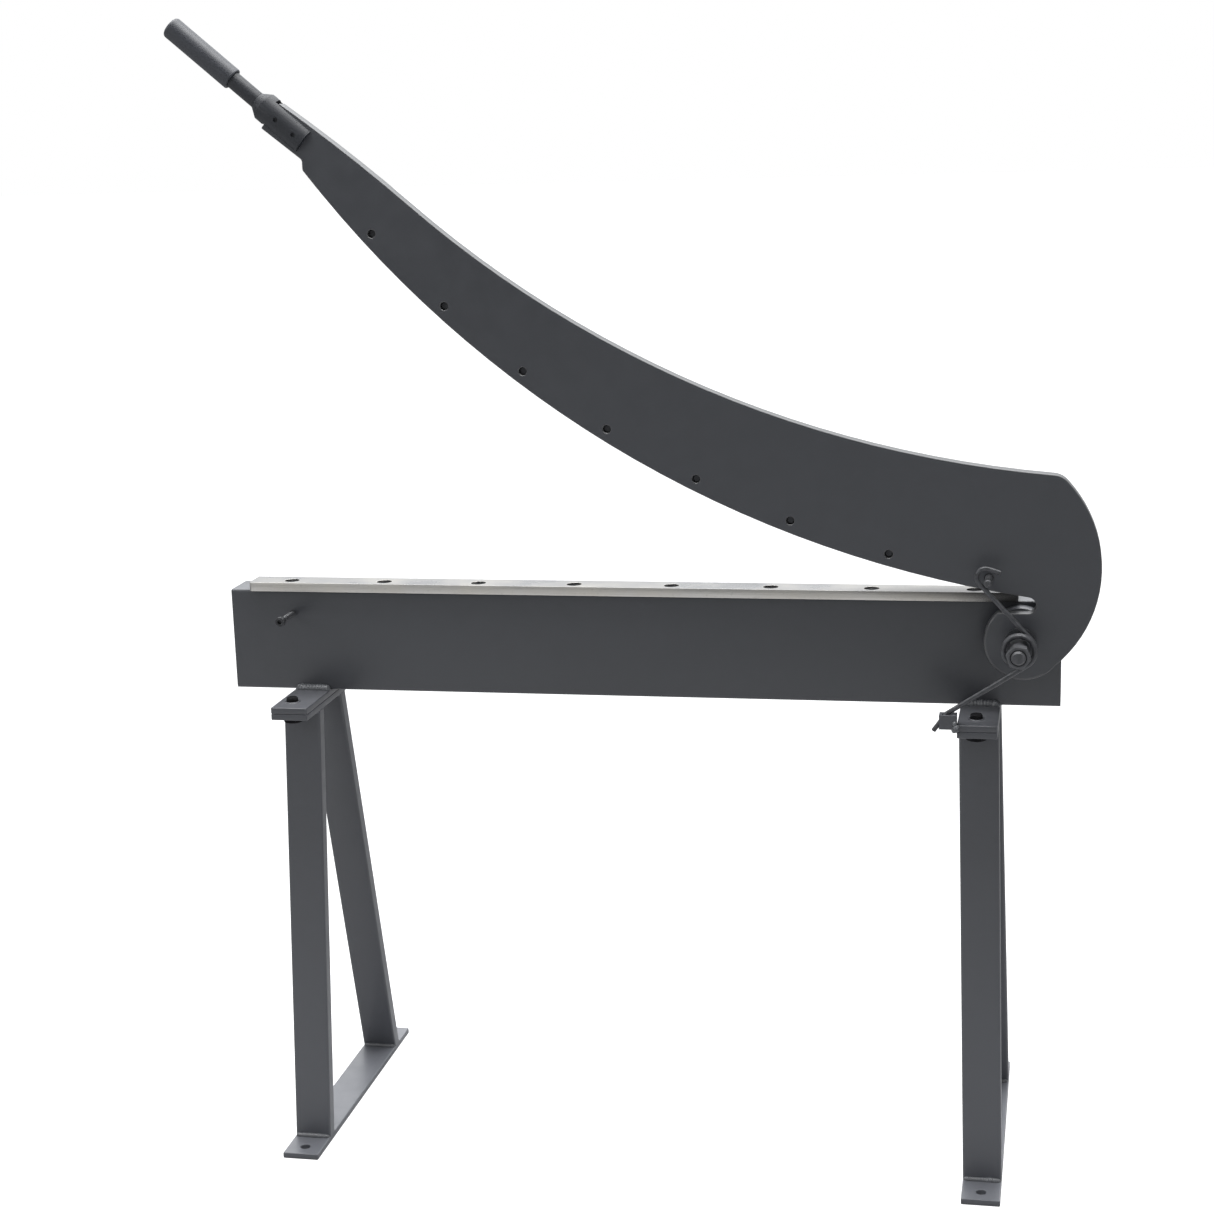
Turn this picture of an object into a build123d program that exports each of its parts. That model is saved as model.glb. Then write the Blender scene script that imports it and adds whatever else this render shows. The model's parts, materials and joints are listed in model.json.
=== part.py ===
from build123d import *
import math
import os

# Hand-lever guillotine shear for sheet metal, standing on two welded frames.
# Units are millimetres. +Z is up, -Y is the operator's side, +X is the pivot end.
# The origin is on the floor, in the middle of the four anchor holes.

# ---- bed -------------------------------------------------------------------
bed_length = 1104
bed_height = 137
bed_depth = 60
bed_wall = 8
bed_left = -555
bed_front = -86
bed_bottom = 629
bed_top = bed_bottom + bed_height
bed_back = bed_front + bed_depth

# ---- blades, which share one section and one hole pitch ----------------------
blade_width = 40
blade_thickness = 12
hole_pitch = 130
hole_count = 8
hole_from_edge = 17
screw_radius = 5
screw_head_radius = 10
screw_head_height = 5
screw_head_sink = 2
lower_blade_left = -525.5
lower_blade_length = 1020.5
lower_blade_proud = 9
lower_blade_first_hole = -470
blade_clearance = 0.2
blade_edge_front = bed_front - lower_blade_proud

# ---- pivot stack, front to back along Y ----------------------------------------
pivot_x = 498.5
pivot_z = 721
pivot_radius = 9
bush_outer_radius = 14
spacer_radius = 40
running_clearance = 0.05
arm_thickness = 20
arm_back = blade_edge_front - blade_clearance - blade_thickness
arm_front = arm_back - arm_thickness
arm_middle = arm_back - arm_thickness / 2
side_play = 0.1
thrust_washer_thickness = 3
sleeve_outer_radius = 12
sleeve_front = -191
pivot_nut_height = 15
pivot_nut_turn = -9.5
pivot_head_height = 12.5
pivot_flats = 27
pivot_bolt_end = -210
pivot_bolt_chamfer = 2.2

# ---- arm outline, measured from the pivot with the arm raised ---------------------
edge_centre = (217.5, 1447.5)
edge_radius = 1404.6
top_centre = (160, 1613)
top_radius = 1406
tail_centre = (-2244.1, -1138.2)
tail_radius = math.dist(top_centre, tail_centre) - top_radius
heel_centre = (-64.6, 93.7)
heel_radius = 163
boss_centre = (4, 1)
boss_radius = 49
slot_floor = 37.4
slot_radius = 10.5
tail_step = -903.2
blade_edge_overlap = 1.5

# ---- handle, measured along its own axis from the mouth of the ferrule -------------
handle_start = (-899.6, 636.2)
handle_angle = 139.3
ferrule_radius = 19
ferrule_length = 69
ferrule_cone = 12
ferrule_slot = 58
tail_depth = 54
rod_radius = 11
spigot_radius = 7
spigot_length = 18
grip_start = 122
grip_end = 227
grip_radius = 14.5
grip_end_wall = 4
cross_pin_radius = 3
cross_pin_places = (13.7, 42.7)

# ---- return spring ------------------------------------------------------------------
wire_radius = 3
coil_radius = 19.3
coil_front = -175.5
coil_pitch = 6.3
hook_lead = 7
hook_radius = 11
hook_sweep = 150
hook_tail = 15
hook_screw_shift = 2.8
pin_end = -163
spring_knee = (-86.5, -77.8)
knee_radius = 8
knee_turn = 21.5
foot_length = 25

# ---- stands --------------------------------------------------------------------------
stock_width = 50
bar_length = 435
bar_thickness = 8
stand_foot_x = 458
left_plate_x = -446.5
right_plate_x = 448.8
anchor_inset = 22
anchor_radius = 6.5
plate_thickness = 8.5
plate_front = -186
plate_length = 200
leg_depth = 20
leg_wall = 2
leg_corner = 3
front_leg_top_y = -126.2
front_leg_foot_y = -153
rear_leg_top_y = -36
rear_leg_foot_y = 156.4
frame_bolt_radius = 8
frame_bolt_length = 23.5
frame_bolt_head = 10
frame_bolt_flats = 24
frame_bolt_front = -153
frame_bolt_rear = -6
left_bolt_x = -452.5
right_bolt_x = 446.5

# ---- down stop -------------------------------------------------------------------------
stop_x = -469
stop_z = 734
stop_radius = 4
stop_head_radius = 6.5
stop_head_height = 8
stop_end = -139

# ---- spring lug --------------------------------------------------------------------------
lug_left = 402
lug_back = -172
lug_depth = 17
lug_bottom = 624
lug_height = 18
lug_hole_radius = 4.2

stand_top_z = bed_bottom - 2 * plate_thickness
middle_to_front = (Align.CENTER, Align.CENTER, Align.MIN)
handle_direction = (math.cos(math.radians(handle_angle)), math.sin(math.radians(handle_angle)))
handle_normal = (handle_direction[1], -handle_direction[0])
hole_ring_radius = edge_radius + blade_edge_overlap - hole_from_edge
hole_step = 2 * math.degrees(math.asin(hole_pitch / 2 / hole_ring_radius))
first_hole_angle = 221.93
last_hole_angle = first_hole_angle + (hole_count - 1) * hole_step
hook_hole_angle = last_hole_angle - math.degrees(hook_screw_shift / hole_ring_radius)


def on_circle(centre, radius, degrees):
    """Point on a circle at an angle."""
    turn = math.radians(degrees)
    return (centre[0] + radius * math.cos(turn), centre[1] + radius * math.sin(turn))


def bearing(centre, point):
    """Angle of a point seen from a centre, in degrees."""
    return math.degrees(math.atan2(point[1] - centre[1], point[0] - centre[0]))


def crossing(centre_a, radius_a, centre_b, radius_b, side):
    """Where two circles cross, on the left (+1) or right (-1) of the line from a to b."""
    gap = math.dist(centre_a, centre_b)
    half = (gap**2 + radius_a**2 - radius_b**2) / (2 * gap * radius_a)
    return on_circle(centre_a, radius_a, bearing(centre_a, centre_b) + side * math.degrees(math.acos(half)))


def arc(centre, radius, start, end, turning):
    """Arc between two points on a circle, turning left (+1) or right (-1)."""
    first = bearing(centre, start)
    sweep = (turning * (bearing(centre, end) - first)) % 360
    return ThreePointArc(start, on_circle(centre, radius, first + turning * sweep / 2), end)


def along_handle(distance, offset):
    """Point in the arm's plane from a place along the handle and a distance above its axis."""
    return (
        handle_start[0] + distance * handle_direction[0] + offset * handle_normal[0],
        handle_start[1] + distance * handle_direction[1] + offset * handle_normal[1],
    )


def at_pivot(point, y):
    """Point measured from the pivot, as a position in space."""
    return (pivot_x + point[0], y, pivot_z + point[1])


def front_plane(y):
    """Plane through the pivot facing the operator."""
    return Plane(origin=(pivot_x, y, pivot_z), x_dir=(1, 0, 0), z_dir=(0, -1, 0))


def facing_front(x, y, z):
    """Plane at a point, facing the operator."""
    return Plane(origin=(x, y, z), x_dir=(1, 0, 0), z_dir=(0, -1, 0))


arm_hole_angles = [first_hole_angle + n * hole_step for n in range(hole_count - 1)] + [hook_hole_angle]
arm_holes = [on_circle(edge_centre, hole_ring_radius, angle) for angle in arm_hole_angles]
pin_places = [along_handle(place, 0) for place in cross_pin_places]
lower_holes = [lower_blade_first_hole + n * hole_pitch for n in range(hole_count)]
lower_hole_y = blade_edge_front + hole_from_edge
lower_blade_top = bed_top + blade_thickness
stop_head_back = stop_end + stop_head_height

# ---- bed: a thick-walled box section carrying the lower blade --------------------------
with BuildPart() as bed_beam:
    with BuildSketch(Plane.YZ.offset(bed_left)):
        with Locations((bed_front + bed_depth / 2, bed_bottom + bed_height / 2)):
            RectangleRounded(bed_depth, bed_height, 3)
            RectangleRounded(bed_depth - 2 * bed_wall, bed_height - 2 * bed_wall, 2, mode=Mode.SUBTRACT)
    extrude(amount=bed_length)
    with Locations(*[(x, lower_hole_y, bed_top) for x in lower_holes]):
        Hole(radius=screw_radius + running_clearance, depth=bed_wall + 2)
    with Locations(facing_front(pivot_x, bed_front, pivot_z)):
        Hole(radius=pivot_radius + running_clearance, depth=bed_depth)
    with Locations(facing_front(stop_x, bed_front, stop_z)):
        Hole(radius=stop_radius + running_clearance, depth=bed_wall + 2)
bed_beam.part.label = "bed_beam"

# ---- lower blade ---------------------------------------------------------------------
with BuildPart() as lower_blade:
    with BuildSketch(Plane.XY.offset(bed_top)):
        with Locations((lower_blade_left + lower_blade_length / 2, blade_edge_front + blade_width / 2)):
            Rectangle(lower_blade_length, blade_width)
    extrude(amount=blade_thickness)
    front_corners = lower_blade.edges().filter_by(Axis.Z).sort_by(Axis.Y)[:2]
    chamfer(front_corners, length=3)
    with Locations(*[(x, lower_hole_y, lower_blade_top) for x in lower_holes]):
        Hole(radius=screw_radius + 0.5, depth=blade_thickness)
        Cylinder(
            radius=screw_head_radius,
            height=2 * screw_head_sink,
            mode=Mode.SUBTRACT,
        )
    with Locations(*[(x, lower_hole_y, lower_blade_top - screw_head_sink) for x in lower_holes]):
        Cone(
            bottom_radius=screw_radius,
            top_radius=screw_head_radius,
            height=screw_head_height,
            align=(Align.CENTER, Align.CENTER, Align.MAX),
            mode=Mode.SUBTRACT,
        )
lower_blade.part.label = "lower_blade"


def countersunk_profile(length):
    """Half section of a countersunk socket screw, head at the top, axis up."""
    socket = 2.9
    Polyline(
        (0, -3),
        (socket, -3),
        (socket, 0),
        (screw_head_radius, 0),
        (screw_radius, -screw_head_height),
        (screw_radius, -length + 1),
        (screw_radius - 1, -length),
        (0, -length),
        close=True,
    )


with BuildPart() as lower_screw:
    with BuildSketch(Plane.XZ):
        with BuildLine():
            countersunk_profile(20)
        make_face()
    revolve(axis=Axis.Z)

with BuildPart() as lower_blade_screws:
    with Locations(*[(x, lower_hole_y, lower_blade_top - screw_head_sink) for x in lower_holes]):
        add(lower_screw.part)
lower_blade_screws.part.label = "lower_blade_screws"

# ---- arm plate: flame-cut lever with a curved cutting edge and a relief slot -------------
slot_centre_z = slot_floor + slot_radius
slot_reach = math.sqrt((edge_radius + slot_radius) ** 2 - (edge_centre[1] - slot_centre_z) ** 2)
slot_centre = (edge_centre[0] - slot_reach, slot_centre_z)
slot_top = on_circle(edge_centre, edge_radius, bearing(edge_centre, slot_centre))
slot_bottom = (slot_centre[0], slot_floor)
boss_start = (boss_centre[0] - math.sqrt(boss_radius**2 - (slot_floor - boss_centre[1]) ** 2), slot_floor)
boss_end = crossing(heel_centre, heel_radius, boss_centre, boss_radius, 1)
heel_corner = crossing(heel_centre, heel_radius, top_centre, top_radius, -1)
top_end = on_circle(top_centre, top_radius, bearing(top_centre, tail_centre))
tail_under = along_handle(tail_depth, -22.2)
tail_over = along_handle(tail_depth, 19.2)
tail_over = on_circle(tail_centre, tail_radius, bearing(tail_centre, tail_over))
tail_slope = math.tan(math.radians(-38.4))
step_top = (tail_step, tail_under[1] + tail_slope * (tail_step - tail_under[0]))
step_bottom = (
    tail_step,
    edge_centre[1] - math.sqrt(edge_radius**2 - (tail_step - edge_centre[0]) ** 2),
)

with BuildPart() as arm_plate:
    with BuildSketch(front_plane(arm_front)) as arm_face:
        with BuildLine():
            arc(edge_centre, edge_radius, step_bottom, slot_top, 1)
            arc(slot_centre, slot_radius, slot_top, slot_bottom, -1)
            Line(slot_bottom, boss_start)
            arc(boss_centre, boss_radius, boss_start, boss_end, 1)
            arc(heel_centre, heel_radius, boss_end, heel_corner, 1)
            arc(top_centre, top_radius, heel_corner, top_end, -1)
            arc(tail_centre, tail_radius, top_end, tail_over, 1)
            Polyline(tail_over, tail_under, step_top, step_bottom)
        make_face()
        fillet(arm_face.vertices().sort_by_distance(heel_corner)[0], radius=25)
        fillet(arm_face.vertices().sort_by_distance(boss_start)[0], radius=6)
        fillet(arm_face.vertices().sort_by_distance(step_top)[0], radius=6)
        fillet(arm_face.vertices().sort_by_distance(step_bottom)[0], radius=6)
    extrude(amount=-arm_thickness)
    with Locations(front_plane(arm_front)):
        Hole(radius=bush_outer_radius, depth=arm_thickness)
    with Locations(*[facing_front(*at_pivot(spot, arm_front)) for spot in arm_holes]):
        CounterSinkHole(
            radius=screw_radius + running_clearance,
            counter_sink_radius=screw_radius + 1,
            depth=arm_thickness,
            counter_sink_angle=90,
        )
    with Locations(*[facing_front(*at_pivot(spot, arm_front)) for spot in pin_places]):
        Hole(radius=cross_pin_radius, depth=arm_thickness)
arm_plate.part.label = "arm_plate"

# ---- upper blade: curved strip on the back of the arm ------------------------------------
outer_edge = edge_radius + blade_edge_overlap
inner_edge = outer_edge - blade_width
blade_start_angle = first_hole_angle - math.degrees(57 / hole_ring_radius)
blade_end_angle = last_hole_angle + math.degrees(33 / hole_ring_radius)
corners = [
    on_circle(edge_centre, outer_edge, blade_start_angle),
    on_circle(edge_centre, outer_edge, blade_end_angle),
    on_circle(edge_centre, inner_edge, blade_end_angle),
    on_circle(edge_centre, inner_edge, blade_start_angle),
]

with BuildPart() as upper_blade:
    with BuildSketch(front_plane(arm_back)):
        with BuildLine():
            arc(edge_centre, outer_edge, corners[0], corners[1], 1)
            Line(corners[1], corners[2])
            arc(edge_centre, inner_edge, corners[2], corners[3], -1)
            Line(corners[3], corners[0])
        make_face()
    extrude(amount=-blade_thickness)
    blade_face = arm_back + blade_thickness
    with Locations(*[facing_front(*at_pivot(spot, arm_back)) for spot in arm_holes]):
        Hole(radius=screw_radius + 0.5, depth=blade_thickness)
    with Locations(*[facing_front(*at_pivot(spot, blade_face)) for spot in arm_holes]):
        Cylinder(radius=screw_head_radius, height=2 * screw_head_sink, mode=Mode.SUBTRACT)
    with Locations(*[facing_front(*at_pivot(spot, blade_face - screw_head_sink)) for spot in arm_holes]):
        Cone(
            bottom_radius=screw_head_radius,
            top_radius=screw_radius,
            height=screw_head_height,
            align=middle_to_front,
            mode=Mode.SUBTRACT,
        )
upper_blade.part.label = "upper_blade"

# Both lengths of blade screw point their heads backwards, towards the bed.
with BuildPart() as upper_screw:
    with BuildSketch(Plane.XY):
        with BuildLine():
            countersunk_profile(25)
        make_face()
    revolve(axis=Axis.Y)

with BuildPart() as upper_blade_screws:
    with Locations(*[at_pivot(spot, blade_face - screw_head_sink) for spot in arm_holes[:-1]]):
        add(upper_screw.part)
upper_blade_screws.part.label = "upper_blade_screws"

with BuildPart() as long_screw:
    with BuildSketch(Plane.XY):
        with BuildLine():
            countersunk_profile(blade_face - screw_head_sink - pin_end)
        make_face()
    revolve(axis=Axis.Y)

with BuildPart() as spring_hook_screw:
    with Locations(at_pivot(arm_holes[-1], blade_face - screw_head_sink)):
        add(long_screw.part)
spring_hook_screw.part.label = "spring_hook_screw"

# ---- handle: slotted ferrule over the arm's tail, rod and grip --------------------------
handle_plane = Plane(
    origin=at_pivot(handle_start, arm_middle),
    x_dir=(0, -1, 0),
    z_dir=(handle_direction[0], 0, handle_direction[1]),
)
cone_end = ferrule_length + ferrule_cone

with BuildPart(handle_plane) as handle_ferrule:
    Cylinder(radius=ferrule_radius, height=ferrule_length, align=middle_to_front)
    with Locations((0, 0, ferrule_length)):
        Cone(
            bottom_radius=ferrule_radius,
            top_radius=rod_radius,
            height=ferrule_cone,
            align=middle_to_front,
        )
    Box(arm_thickness + 0.2, 60, ferrule_slot, align=middle_to_front, mode=Mode.SUBTRACT)
    with Locations((0, 0, cone_end - spigot_length)):
        Cylinder(
            radius=spigot_radius,
            height=spigot_length,
            align=middle_to_front,
            mode=Mode.SUBTRACT,
        )
    with Locations(*[Location((0, 0, place), (0, 90, 0)) for place in cross_pin_places]):
        Cylinder(radius=cross_pin_radius, height=60, mode=Mode.SUBTRACT)
handle_ferrule.part.label = "handle_ferrule"

with BuildPart(handle_plane) as handle_rod:
    with Locations((0, 0, cone_end)):
        Cylinder(radius=rod_radius, height=grip_end - grip_end_wall - cone_end, align=middle_to_front)
    with Locations((0, 0, cone_end - spigot_length)):
        Cylinder(radius=spigot_radius, height=spigot_length, align=middle_to_front)
handle_rod.part.label = "handle_rod"

with BuildPart(handle_plane) as grip:
    with Locations((0, 0, grip_start)):
        Cylinder(radius=grip_radius, height=grip_end - grip_start, align=middle_to_front)
    rims = grip.edges().filter_by(GeomType.CIRCLE).sort_by(Axis(handle_plane.origin, handle_plane.z_dir))
    fillet(rims[-1], radius=4)
    rims = grip.edges().filter_by(GeomType.CIRCLE).sort_by(Axis(handle_plane.origin, handle_plane.z_dir))
    fillet(rims[0], radius=2)
    with Locations((0, 0, grip_start)):
        Cylinder(
            radius=rod_radius,
            height=grip_end - grip_start - grip_end_wall,
            align=middle_to_front,
            mode=Mode.SUBTRACT,
        )
grip.part.label = "grip"

with BuildPart() as cross_pins:
    with Locations(*[facing_front(*at_pivot(spot, arm_middle)) for spot in pin_places]):
        Cylinder(radius=cross_pin_radius, height=34)
        Cylinder(radius=1.6, height=34, mode=Mode.SUBTRACT)
cross_pins.part.label = "cross_pins"

# ---- pivot ------------------------------------------------------------------------------
with BuildPart() as pivot_bush:
    with BuildSketch(front_plane(arm_back)):
        Circle(bush_outer_radius)
        Circle(pivot_radius + running_clearance, mode=Mode.SUBTRACT)
    extrude(amount=arm_thickness)
pivot_bush.part.label = "pivot_bush"

with BuildPart() as pivot_spacer:
    with BuildSketch(front_plane(bed_front)):
        Circle(spacer_radius)
        Circle(pivot_radius + running_clearance, mode=Mode.SUBTRACT)
    extrude(amount=bed_front - arm_back - side_play)
pivot_spacer.part.label = "pivot_spacer"

washer_back = arm_front - side_play
with BuildPart() as thrust_washer:
    with BuildSketch(front_plane(washer_back)):
        Circle(20)
        Circle(pivot_radius + running_clearance, mode=Mode.SUBTRACT)
    extrude(amount=thrust_washer_thickness)
thrust_washer.part.label = "thrust_washer"

with BuildPart() as spring_sleeve:
    with BuildSketch(front_plane(washer_back - thrust_washer_thickness)):
        Circle(sleeve_outer_radius)
        Circle(pivot_radius + running_clearance, mode=Mode.SUBTRACT)
    extrude(amount=washer_back - thrust_washer_thickness - sleeve_front)
spring_sleeve.part.label = "spring_sleeve"

with BuildPart() as pivot_nut:
    with BuildSketch(front_plane(sleeve_front)):
        RegularPolygon(radius=pivot_flats / 2, side_count=6, major_radius=False, rotation=pivot_nut_turn)
        Circle(pivot_radius, mode=Mode.SUBTRACT)
    extrude(amount=pivot_nut_height)
pivot_nut.part.label = "pivot_nut"

head_front = bed_back + thrust_washer_thickness
with BuildPart() as pivot_bolt:
    with BuildSketch(front_plane(head_front)):
        RegularPolygon(radius=pivot_flats / 2, side_count=6, major_radius=False)
    extrude(amount=-pivot_head_height)
    with BuildSketch(front_plane(head_front)):
        Circle(pivot_radius)
    extrude(amount=head_front - pivot_bolt_end)
    chamfer(pivot_bolt.edges().filter_by(GeomType.CIRCLE).sort_by(Axis.Y)[0], length=pivot_bolt_chamfer)
pivot_bolt.part.label = "pivot_bolt"

with BuildPart() as rear_washer:
    with BuildSketch(front_plane(bed_back)):
        Circle(20)
        Circle(pivot_radius + running_clearance, mode=Mode.SUBTRACT)
    extrude(amount=-thrust_washer_thickness)
rear_washer.part.label = "rear_washer"

# ---- return spring: coil round the sleeve, one leg hooked over the long screw -------------
pin_spot = arm_holes[-1]
lean = math.degrees(math.acos((coil_radius + screw_radius + wire_radius + 0.2) / math.hypot(*pin_spot)))
upper_angle = bearing((0, 0), pin_spot) - lean
lower_reach = math.sqrt(math.hypot(*spring_knee) ** 2 - coil_radius**2)
lower_angle = bearing((0, 0), spring_knee) + math.degrees(math.atan2(lower_reach, coil_radius))
coil_turns = 2 + ((upper_angle - lower_angle) % 360) / 360
coil_plane = Plane(
    origin=(pivot_x, coil_front, pivot_z),
    x_dir=(math.cos(math.radians(lower_angle)), 0, math.sin(math.radians(lower_angle))),
    z_dir=(0, 1, 0),
)
coil = coil_plane * Helix(
    pitch=coil_pitch, height=coil_pitch * coil_turns, radius=coil_radius, lefthand=True
)
coil_slope = coil % 0
level = math.hypot(coil_slope.X, coil_slope.Z)
upper_reach = math.hypot(*pin_spot) * math.sin(math.radians(lean))
hook_start = coil @ 1 + (coil % 1) * ((upper_reach + hook_lead) / level)
knee = coil @ 0 - coil_slope * (lower_reach / level)


def bent_end(start, direction, side, radius, turn, tail):
    """Bend and straight tail on the end of the wire, turning left (+1) or right (-1)."""
    across = Vector(-direction.Z, 0, direction.X).normalized() * side
    flat = Plane(origin=start, x_dir=direction, z_dir=direction.cross(across))
    bend = JernArc(start=(0, 0), tangent=(1, 0), radius=radius, arc_size=turn)
    return [flat * bend, flat * Line(bend @ 1, bend @ 1 + (bend % 1) * tail)]


hook = bent_end(hook_start, coil % 1, -1, hook_radius, hook_sweep, hook_tail)
foot = bent_end(knee, coil_slope * -1, 1, knee_radius, knee_turn, foot_length)

with BuildPart() as torsion_spring:
    with BuildLine() as spring_path:
        add(foot)
        Line(knee, coil @ 0)
        add(coil)
        Line(coil @ 1, hook_start)
        add(hook)
    with BuildSketch(Plane(origin=hook[1] @ 1, z_dir=hook[1] % 1)):
        Circle(wire_radius)
    sweep(path=spring_path.wire())
torsion_spring.part.label = "torsion_spring"

# ---- spring lug: drilled block beside the right-hand mount plate ---------------------------
plate_side = right_plate_x - stock_width / 2
with BuildPart() as spring_lug:
    with Locations((lug_left, lug_back, lug_bottom)):
        Box(plate_side - lug_left, lug_depth, lug_height, align=(Align.MIN, Align.MAX, Align.MIN))
    with Locations(Plane(origin=foot[1] @ 0, z_dir=foot[1] % 0)):
        Cylinder(radius=lug_hole_radius, height=80, mode=Mode.SUBTRACT)
spring_lug.part.label = "spring_lug"

# ---- down stop: long socket screw in the face of the bed ------------------------------------
with BuildPart() as stop_screw:
    with BuildSketch(facing_front(stop_x, bed_front + bed_wall, stop_z)):
        Circle(stop_radius)
    extrude(amount=bed_front + bed_wall - stop_head_back)
    with BuildSketch(facing_front(stop_x, stop_head_back, stop_z)):
        Circle(stop_head_radius)
    extrude(amount=stop_head_height)
    chamfer(stop_screw.edges().filter_by(GeomType.CIRCLE).sort_by(Axis.Y)[0], length=0.6)
    with BuildSketch(facing_front(stop_x, stop_end, stop_z)):
        RegularPolygon(radius=3, side_count=6, major_radius=False)
    extrude(amount=-4.5, mode=Mode.SUBTRACT)
stop_screw.part.label = "stop_screw"

# ---- frames: one under each end of the bed ---------------------------------------------------
sides = (
    ("left", left_plate_x, -stand_foot_x, left_bolt_x),
    ("right", right_plate_x, stand_foot_x, right_bolt_x),
)
frame_parts = []
bolt_places = []
for side, top_x, foot_x, bolt_x in sides:
    side_bolts = [(bolt_x, frame_bolt_front), (bolt_x, frame_bolt_rear)]
    bolt_places += side_bolts
    plate_middle = plate_front + plate_length / 2

    with BuildPart() as mount_plate:
        with BuildSketch(Plane.XY.offset(bed_bottom - plate_thickness)):
            with Locations((top_x, plate_middle)):
                Rectangle(stock_width, plate_length)
            with Locations(*side_bolts):
                Circle(frame_bolt_radius + running_clearance, mode=Mode.SUBTRACT)
        extrude(amount=plate_thickness)
    mount_plate.part.label = f"mount_plate_{side}"

    with BuildPart() as stand_plate:
        with BuildSketch(Plane.XY.offset(stand_top_z)):
            with Locations((top_x, plate_middle)):
                Rectangle(stock_width, plate_length)
            with Locations(*side_bolts):
                Circle(frame_bolt_radius + 0.5, mode=Mode.SUBTRACT)
        extrude(amount=plate_thickness)
    stand_plate.part.label = f"stand_plate_{side}"

    with BuildPart() as base_bar:
        with BuildSketch(Plane.XY):
            with Locations((foot_x, 0)):
                Rectangle(stock_width, bar_length)
            with Locations((foot_x, bar_length / 2 - anchor_inset), (foot_x, anchor_inset - bar_length / 2)):
                Circle(anchor_radius, mode=Mode.SUBTRACT)
        extrude(amount=bar_thickness)
    base_bar.part.label = f"base_bar_{side}"

    frame_parts += [mount_plate.part, stand_plate.part, base_bar.part]
    for name, foot_y, top_y in (
        ("front_leg", front_leg_foot_y, front_leg_top_y),
        ("rear_leg", rear_leg_foot_y, rear_leg_top_y),
    ):
        run = Vector(top_x - foot_x, top_y - foot_y, stand_top_z - bar_thickness)
        section_depth = leg_depth * run.length / run.Z
        with BuildPart() as leg:
            with BuildSketch(Plane.XY.offset(bar_thickness)):
                with Locations((foot_x, foot_y)):
                    RectangleRounded(stock_width, section_depth, leg_corner)
                    RectangleRounded(
                        stock_width - 2 * leg_wall,
                        section_depth - 2 * leg_wall,
                        leg_corner - 1.5,
                        mode=Mode.SUBTRACT,
                    )
            extrude(amount=run.length, dir=run.normalized())
        leg.part.label = f"{name}_{side}"
        frame_parts.append(leg.part)

# ---- bolts holding each frame to its mount plate, screwed in from below ------------------------
with BuildPart() as frame_bolts:
    for bolt_x, bolt_y in bolt_places:
        with BuildSketch(Plane.XY.offset(stand_top_z)):
            with Locations((bolt_x, bolt_y)):
                RegularPolygon(radius=frame_bolt_flats / 2, side_count=6, major_radius=False)
        extrude(amount=-frame_bolt_head)
        with BuildSketch(Plane.XY.offset(stand_top_z)):
            with Locations((bolt_x, bolt_y)):
                Circle(frame_bolt_radius)
        extrude(amount=frame_bolt_length)
    chamfer(frame_bolts.edges().filter_by(GeomType.CIRCLE).group_by(Axis.Z)[-1], length=1)
frame_bolts.part.label = "frame_bolts"

# ---- one STEP file for each sub-part ---------------------------------------------------------
os.makedirs("parts", exist_ok=True)
pieces = frame_parts + [
    bed_beam.part,
    lower_blade.part,
    lower_blade_screws.part,
    arm_plate.part,
    upper_blade.part,
    upper_blade_screws.part,
    spring_hook_screw.part,
    handle_ferrule.part,
    handle_rod.part,
    grip.part,
    cross_pins.part,
    pivot_bush.part,
    pivot_spacer.part,
    thrust_washer.part,
    spring_sleeve.part,
    pivot_nut.part,
    pivot_bolt.part,
    rear_washer.part,
    torsion_spring.part,
    spring_lug.part,
    stop_screw.part,
    frame_bolts.part,
]
for piece in pieces:
    export_step(piece, f"parts/{piece.label}.step")
    print(f"{piece.label:22s} {len(piece.solids())} solids {piece.volume:12.1f} mm3")
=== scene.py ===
import json
import math

import bmesh
import bpy
from mathutils import Matrix, Vector, noise
from mathutils.geometry import tessellate_polygon


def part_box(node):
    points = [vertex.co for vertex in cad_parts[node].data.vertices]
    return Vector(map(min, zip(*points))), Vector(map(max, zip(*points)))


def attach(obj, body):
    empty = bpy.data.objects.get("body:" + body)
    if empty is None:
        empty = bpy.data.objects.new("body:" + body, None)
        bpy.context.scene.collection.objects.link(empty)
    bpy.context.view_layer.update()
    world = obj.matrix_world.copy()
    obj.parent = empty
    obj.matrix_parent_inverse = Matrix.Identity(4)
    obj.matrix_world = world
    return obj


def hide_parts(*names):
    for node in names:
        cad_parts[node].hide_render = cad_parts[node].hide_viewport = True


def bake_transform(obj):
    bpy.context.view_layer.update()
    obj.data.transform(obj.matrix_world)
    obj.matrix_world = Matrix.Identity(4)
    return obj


# Hand-lever sheet metal shear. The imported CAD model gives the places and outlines, and this
# script dresses it: rounded edges, threads, weld beads, the coil, paint and ground steel.
# Fastener sizes and the spring's path are stated here with the CAD's own values.
# Lengths are in metres, in the row frame: +Z up, -Y towards the operator.

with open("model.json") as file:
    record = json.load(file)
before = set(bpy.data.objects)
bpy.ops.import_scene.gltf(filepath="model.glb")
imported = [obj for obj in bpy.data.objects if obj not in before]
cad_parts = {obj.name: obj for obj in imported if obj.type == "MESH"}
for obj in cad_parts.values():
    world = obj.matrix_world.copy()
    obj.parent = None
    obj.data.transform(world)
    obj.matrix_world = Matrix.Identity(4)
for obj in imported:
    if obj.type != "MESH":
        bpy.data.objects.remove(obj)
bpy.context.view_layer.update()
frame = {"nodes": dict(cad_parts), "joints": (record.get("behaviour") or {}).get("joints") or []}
nodes = frame["nodes"]
pivot = Vector(frame["joints"][0]["pos_m"])
MM = 0.001
SIDES = ("left", "right")


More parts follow.
